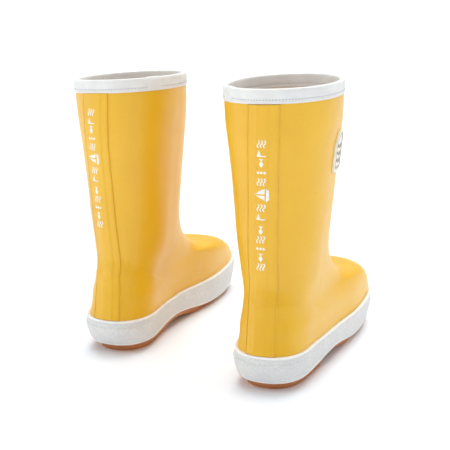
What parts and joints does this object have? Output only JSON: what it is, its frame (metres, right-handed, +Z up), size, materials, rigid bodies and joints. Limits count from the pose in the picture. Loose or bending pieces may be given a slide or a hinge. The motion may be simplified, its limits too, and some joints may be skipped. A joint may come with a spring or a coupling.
{
  "type": "deck boots",
  "caption": "Pair of calf-high rubber sailing boots with a taped rim, a back strip, a crepe-textured side strip and a grooved gum sole.",
  "frame": {"origin": "centre of the pair's bounding box, on the floor under the soles", "axes": "+Y towards the toes, +X to the wearer's right, +Z up"},
  "size_m": [0.2988, 0.3652, 0.2974],
  "materials": {
    "yellow_rubber": "matt, faint soft sheen",
    "lining_knit": "fine cotton knit, matt",
    "stiffener_canvas": "rubberised canvas, matt",
    "binding_tape": "woven tape, satin",
    "thread": "twisted polyester thread",
    "badge_rubber": "moulded, satin",
    "emblem_rubber": "moulded, satin",
    "crepe_rubber": "fine grained crepe texture with smooth edges",
    "gum_rubber": "translucent gum, satin",
    "sponge_rubber": "open sponge, matt",
    "shank_steel": "spring steel strip",
    "fibre_board": "pressed cellulose board",
    "footbed_felt": "fabric faced foam"
  },
  "bodies": {
    "left_boot": {"left_upper": "yellow_rubber", "left_lining": "lining_knit", "left_heel_counter": "stiffener_canvas", "left_toe_puff": "stiffener_canvas", "left_rim_binding": "binding_tape", "left_binding_stitching": "thread", "left_back_strip": "yellow_rubber", "left_badge": "badge_rubber", "left_badge_emblem": "emblem_rubber", "left_foxing": "crepe_rubber", "left_heel_tape": "crepe_rubber", "left_outsole": "gum_rubber", "left_sole_filler": "sponge_rubber", "left_shank": "shank_steel", "left_insole_board": "fibre_board", "left_footbed": "footbed_felt"},
    "right_boot": {"right_upper": "yellow_rubber", "right_lining": "lining_knit", "right_heel_counter": "stiffener_canvas", "right_toe_puff": "stiffener_canvas", "right_rim_binding": "binding_tape", "right_binding_stitching": "thread", "right_back_strip": "yellow_rubber", "right_badge": "badge_rubber", "right_badge_emblem": "emblem_rubber", "right_foxing": "crepe_rubber", "right_heel_tape": "crepe_rubber", "right_outsole": "gum_rubber", "right_sole_filler": "sponge_rubber", "right_shank": "shank_steel", "right_insole_board": "fibre_board", "right_footbed": "footbed_felt"}
  },
  "joints": [
    {"name": "right_boot_lift", "type": "slide", "parent": "left_boot", "child": "right_boot", "axis": [0, 0, 1], "range_m": [0, 0.32]}
  ]
}
